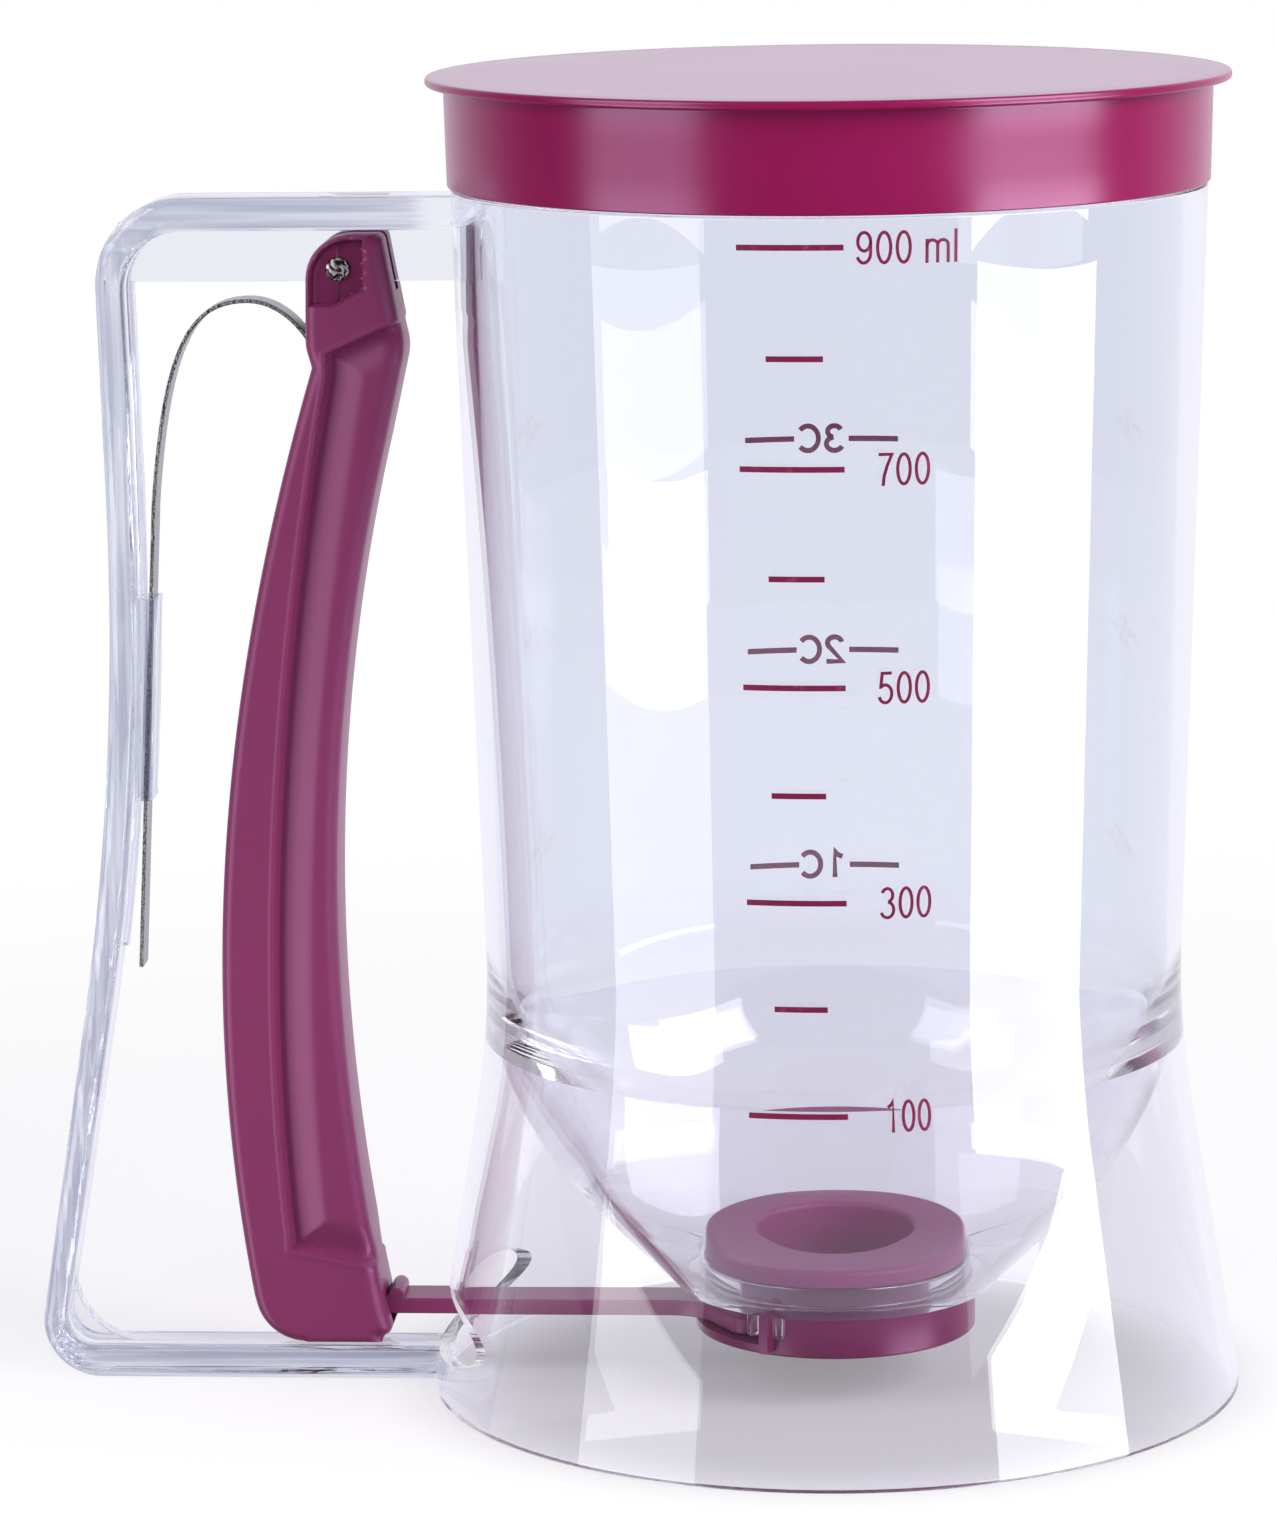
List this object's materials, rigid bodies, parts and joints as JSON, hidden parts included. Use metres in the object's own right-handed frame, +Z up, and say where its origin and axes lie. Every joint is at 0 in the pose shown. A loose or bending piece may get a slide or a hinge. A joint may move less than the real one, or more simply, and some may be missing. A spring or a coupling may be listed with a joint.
{
  "type": "pancake batter dispenser",
  "caption": "Clear measuring cup on a flared skirt with a lift-off lid, a loop handle, and a spring trigger that slides a flat gate from under the outlet.",
  "frame": {"origin": "on the table, at the cup's axis", "axes": "+Z up along the cup's axis, -X towards the handle"},
  "size_m": [0.1666, 0.112, 0.181],
  "materials": {
    "clear_plastic": "clear gloss",
    "burgundy_plastic": "fine satin",
    "burgundy_seal": "smooth matt",
    "spring_steel": "brushed strip with blanked edges",
    "pin_steel": "cropped wire ends"
  },
  "bodies": {
    "cup": {"cup_wall": "clear_plastic", "funnel_bowl": "clear_plastic", "base_skirt": "clear_plastic", "handle_frame": "clear_plastic", "pivot_pin": "pin_steel", "leaf_spring": "spring_steel", "valve_housing": "burgundy_plastic", "seat_ring": "burgundy_seal"},
    "trigger": {"trigger": "burgundy_plastic"},
    "gate": {"gate_slider": "burgundy_plastic"},
    "lid": {"lid": "burgundy_plastic"}
  },
  "joints": [
    {"name": "trigger_hinge", "type": "hinge", "parent": "cup", "child": "trigger", "pos_m": [-0.0659, 0, 0.1553], "axis": [0, 1, 0], "range_deg": [0, 7.2], "stiffness_Nm_per_rad": 1.5, "springref_deg": -7.45, "deforming": ["leaf_spring"]},
    {"name": "gate_slide", "type": "slide", "parent": "cup", "child": "gate", "axis": [-1, 0, 0], "range_m": [0, 0.0182]},
    {"name": "lid_lift", "type": "slide", "parent": "cup", "child": "lid", "axis": [0, 0, 1], "range_m": [0, 0.05]}
  ],
  "couplings": [
    {"joint": "gate_slide", "follows": "trigger_hinge", "m_per_rad": 0.1449}
  ]
}
